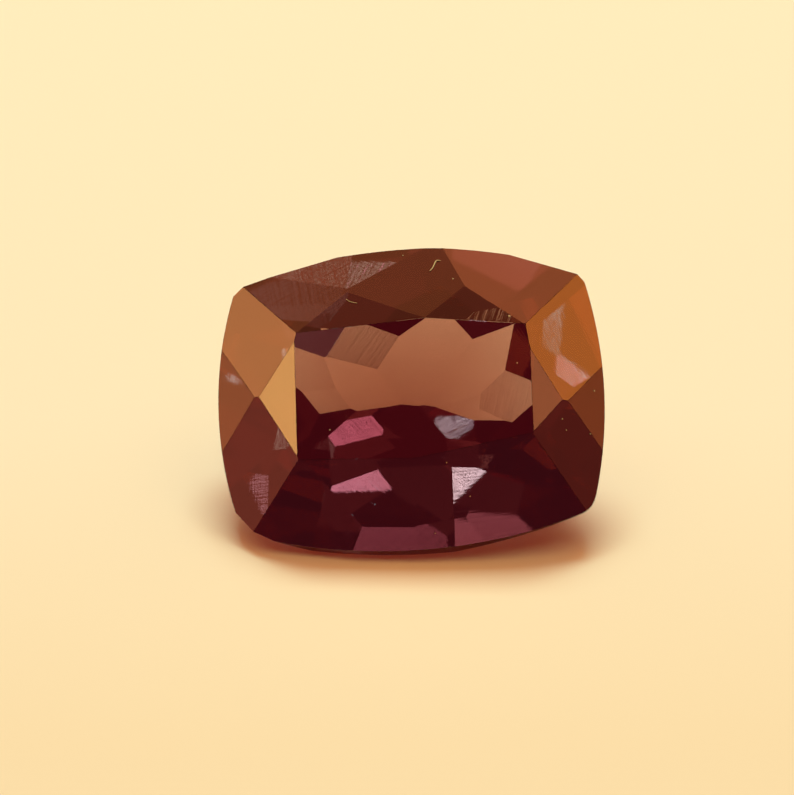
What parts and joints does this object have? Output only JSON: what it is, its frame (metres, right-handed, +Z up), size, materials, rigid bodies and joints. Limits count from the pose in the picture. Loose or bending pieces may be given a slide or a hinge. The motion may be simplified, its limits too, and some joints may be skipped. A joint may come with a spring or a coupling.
{
  "type": "cushion cut alexandrite",
  "caption": "Loose faceted gemstone with a rounded rectangular cushion outline, a large flat table, a low crown and a deep pointed pavilion.",
  "frame": {"origin": "centre of the stone's footprint box, on the surface it lies on", "axes": "+X along the long side of the cushion outline, -Y towards the side that the table faces, +Z up; the stone lies on its broad near pavilion facet"},
  "size_m": [0.01, 0.0066, 0.0054],
  "materials": {
    "alexandrite": "high polish, dark red violet, see-through"
  },
  "bodies": {
    "root": {"stone": "alexandrite"}
  },
  "joints": []
}
